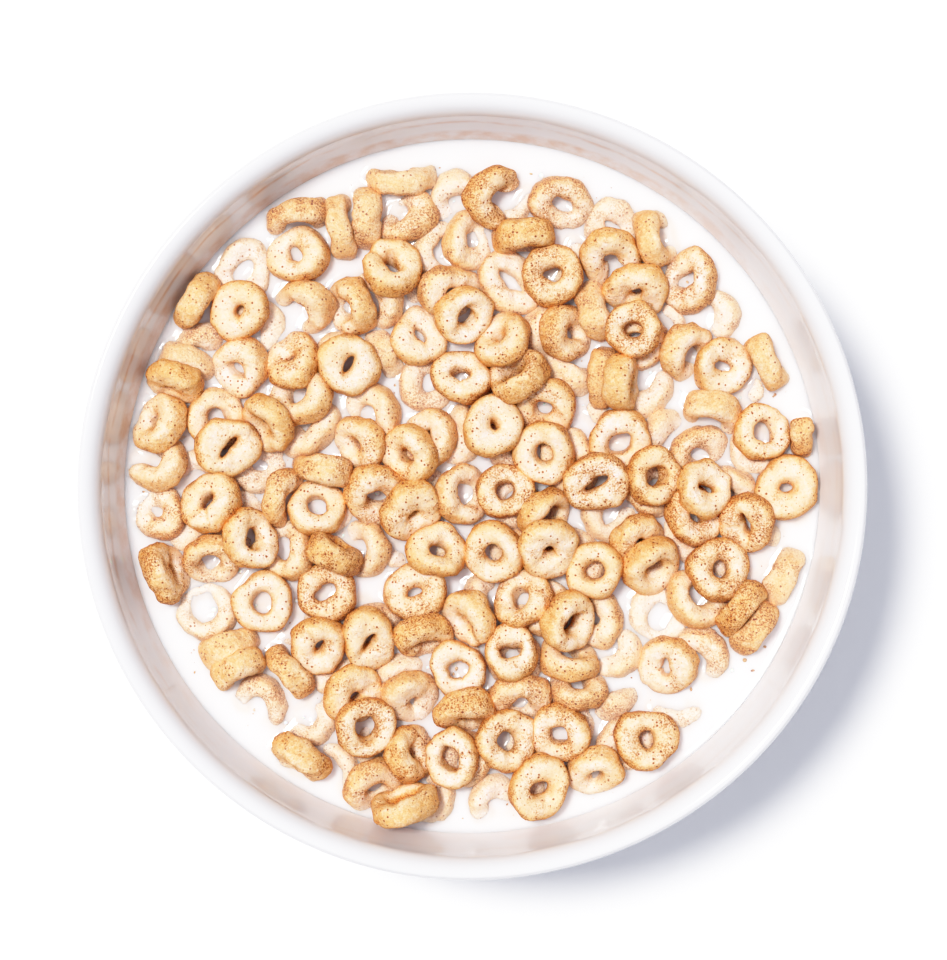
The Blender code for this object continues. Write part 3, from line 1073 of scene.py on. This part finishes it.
def glazeMaterial():
    look = glazeLook
    material = bpy.data.materials.new("whiteGlaze")
    make, shader, links = nodeMaker(material)
    coordinates = make("ShaderNodeTexCoord").outputs["Object"]
    place = make("ShaderNodeSeparateXYZ", None, Vector=coordinates).outputs
    math2, remap, noise, _, attribute = mathTools(make, coordinates)

    over = math2("SUBTRACT", place[2], float(milkLevel))
    toSide = [math2("MULTIPLY", place[0], math.cos(look["browner"]))]
    toSide.append(math2("MULTIPLY", place[1], math.sin(look["browner"])))
    side = math2("ADD", *toSide)
    share = remap(side, -0.01, 0.045, 0.12, 1.0)
    # painted reflection of the rings, with dried milk: a streaky brown band just over the milk's level
    streaks = remap(noise(210, 4.0), 0.38, 0.64)
    top = math2("ADD", look["residueAndReflectionHeight"] * 0.5, math2("MULTIPLY", noise(75, 3.0), look["residueAndReflectionHeight"]))
    band = math2("MULTIPLY", remap(over, -0.0002, 0.0005), remap(math2("SUBTRACT", over, top), 0.0016, 0.0))
    band = math2("MULTIPLY", math2("MULTIPLY", band, remap(streaks, 0, 1, 0.25, 1.0)), look["residueAndReflectionAmount"])
    # painted reflection of the heap's front edge: a wavy brown line up the wall
    wave = math2("MULTIPLY", noise(55, 3.0), 2 * look["lineWave"])
    line = math2("ADD", look["lineHeight"] - look["lineWave"], wave)
    away = math2("DIVIDE", math2("SUBTRACT", over, line), look["lineWidth"])
    falloff = math2("MULTIPLY", math2("MULTIPLY", away, away), -1.0)
    mark = math2("MULTIPLY", math2("POWER", 2.718, falloff), look["lineAmount"])
    mark = math2("MULTIPLY", mark, remap(noise(120, 3.0), 0.40, 0.60))
    amount = math2("MULTIPLY", math2("MAXIMUM", band, mark), share)
    tint = make("ShaderNodeMix", {"data_type": "RGBA"}, in0=math2("MULTIPLY", amount, attribute("inner")))
    tint.inputs[6].default_value = (*look["white"], 1)
    tint.inputs[7].default_value = (*look["residueAndReflection"], 1)
    links.new(tint.outputs[2], shader.inputs["Base Color"])
    shader.inputs["Roughness"].default_value = 0.10
    shader.inputs["IOR"].default_value = 1.50
    bump = make("ShaderNodeBump", None, Height=noise(60, 3.0), Strength=0.12, Distance=0.0006)
    links.new(bump.outputs[0], shader.inputs["Normal"])
    return material


def bubbleMaterial():
    material = bpy.data.materials.new("milkBubble")
    make, shader, links = nodeMaker(material)
    shader.inputs["Base Color"].default_value = (0.93, 0.90, 0.88, 1)
    shader.inputs["Roughness"].default_value = 0.03
    shader.inputs["IOR"].default_value = 1.45
    shader.inputs["Subsurface Weight"].default_value = 0.6
    shader.inputs["Subsurface Scale"].default_value = 0.001
    return material


def floorMaterial():
    material = bpy.data.materials.new("paleFloor")
    make, shader, links = nodeMaker(material)
    shader.inputs["Base Color"].default_value = (0.98, 0.98, 0.98, 1)
    shader.inputs["Roughness"].default_value = 0.9
    shader.inputs["Specular IOR Level"].default_value = 0.1
    return material


heapSurface = readHeap()
ringThrough, ringDepth = readRings()
ringDistance = distanceTo(ringThrough)
bowl = buildBowl()
bowl.data.materials.append(glazeMaterial())
print("bowl turned:", len(bowl.data.polygons), "faces")
milk = buildMilk()
milk.data.materials.append(milkMaterial())
print("milk poured:", len(milk.data.polygons), "faces")
cerealMaterial = ringMaterial()
for piece in buildRings():
    piece.data.materials.append(cerealMaterial)
    print("rings made:", piece.name, len(piece.data.polygons), "faces")
crumbs = buildCrumbs()
crumbs.data.materials.append(cerealMaterial)
bubbles = buildBubbles()
bubbles.data.materials.append(bubbleMaterial())
print("crumbs and bubbles:", len(crumbs.data.polygons) + len(bubbles.data.polygons), "faces")


# stage, light and camera

studio = {
    "floorSide": 3.0,
    "keyHeading": math.radians(149),
    "keyLean": math.radians(19.0),
    "keyPower": 3.18,
    "keySize": math.radians(12.0),
    "keyColour": (1.0, 0.980, 0.945),
    "fillColour": (0.925, 0.955, 1.11),
    "fillLow": 0.06,  # at the horizon
    "fillHigh": 0.765,  # overhead
}
toneWhite = 1.36  # light that shows as pure white
toneCurve = ((0.25, 0.25), (0.50, 0.50), (0.70, 0.690), (0.90, 0.84), (1.10, 0.94), (1.25, 0.983))
cameraPlace = {"overRim": 0.75, "aside": (0.00025, 0.00138), "frameHeight": 0.20066, "sensor": 36.0}


def buildStage():
    half = studio["floorSide"] / 2
    corners = np.array([[-half, -half, 0], [half, -half, 0], [half, half, 0], [-half, half, 0]])
    floor = addObject("floor", corners, [[0, 1, 2, 3]], smooth=False)
    floor.data.materials.append(floorMaterial())
    floor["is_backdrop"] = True

    light = bpy.data.lights.new("key", "SUN")
    light.energy = studio["keyPower"]
    light.angle = studio["keySize"]
    light.color = studio["keyColour"]
    lamp = bpy.data.objects.new("key", light)
    lamp.rotation_euler = (0, studio["keyLean"], studio["keyHeading"])
    bpy.context.scene.collection.objects.link(lamp)

    world = bpy.data.worlds.new("studio")
    world.use_nodes = True
    nodes, links = world.node_tree.nodes, world.node_tree.links
    background = nodes["Background"]
    background.inputs[0].default_value = (*studio["fillColour"], 1)
    height = nodes.new("ShaderNodeSeparateXYZ")
    links.new(nodes.new("ShaderNodeTexCoord").outputs["Generated"], height.inputs[0])
    power = nodes.new("ShaderNodeMapRange")
    power.interpolation_type = "SMOOTHSTEP"
    links.new(height.outputs[2], power.inputs["Value"])
    power.inputs["To Min"].default_value = studio["fillLow"]
    power.inputs["To Max"].default_value = studio["fillHigh"]
    links.new(power.outputs[0], background.inputs[1])
    bpy.context.scene.world = world

    camera = bpy.data.cameras.new("overhead")
    camera.sensor_width = cameraPlace["sensor"]
    camera.lens = cameraPlace["sensor"] * cameraPlace["overRim"] / cameraPlace["frameHeight"]
    eye = bpy.data.objects.new("overhead", camera)
    eye.location = (*cameraPlace["aside"], rimHeight + cameraPlace["overRim"])
    bpy.context.scene.collection.objects.link(eye)
    bpy.context.scene.camera = eye
    view = bpy.context.scene.view_settings
    view.view_transform = "Standard"
    view.use_curve_mapping = True
    tone = view.curve_mapping
    tone.white_level = (toneWhite, toneWhite, toneWhite)
    line = tone.curves[3]
    line.points[1].location = (1.0, 1.0)
    for given, shown in toneCurve:
        line.points.new(given / toneWhite, shown)
    tone.update()


buildStage()

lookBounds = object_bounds()
sizes = {"cad": cadBounds, "look": lookBounds}
sizes = {name: [[float(value) for value in corner] for corner in box] for name, box in sizes.items()}
